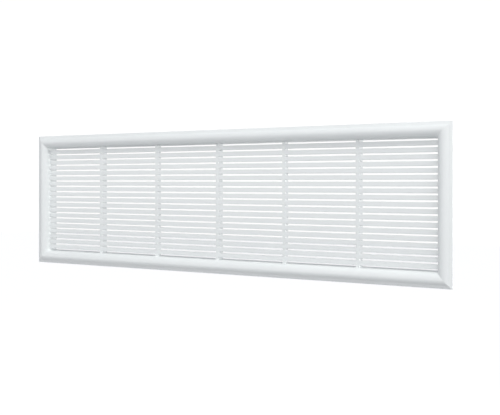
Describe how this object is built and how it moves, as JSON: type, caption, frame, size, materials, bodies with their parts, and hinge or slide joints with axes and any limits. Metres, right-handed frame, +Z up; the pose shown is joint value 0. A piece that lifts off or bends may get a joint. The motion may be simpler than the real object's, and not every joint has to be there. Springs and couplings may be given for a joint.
{
  "type": "air vent grille",
  "caption": "Rectangular white plastic ventilation grille with a half-round frame, narrow level slots, upright ribs and a collar behind for a wall opening.",
  "frame": {"origin": "centre of the ring of the frame that lies on the wall, in the plane of the wall", "axes": "+X along the grille to the right seen from the room, +Y into the wall, +Z up"},
  "size_m": [0.455, 0.0154, 0.1334],
  "materials": {
    "white_plastic": "satin white moulded plastic"
  },
  "bodies": {
    "root": {"vent_grille": "white_plastic"}
  },
  "joints": []
}
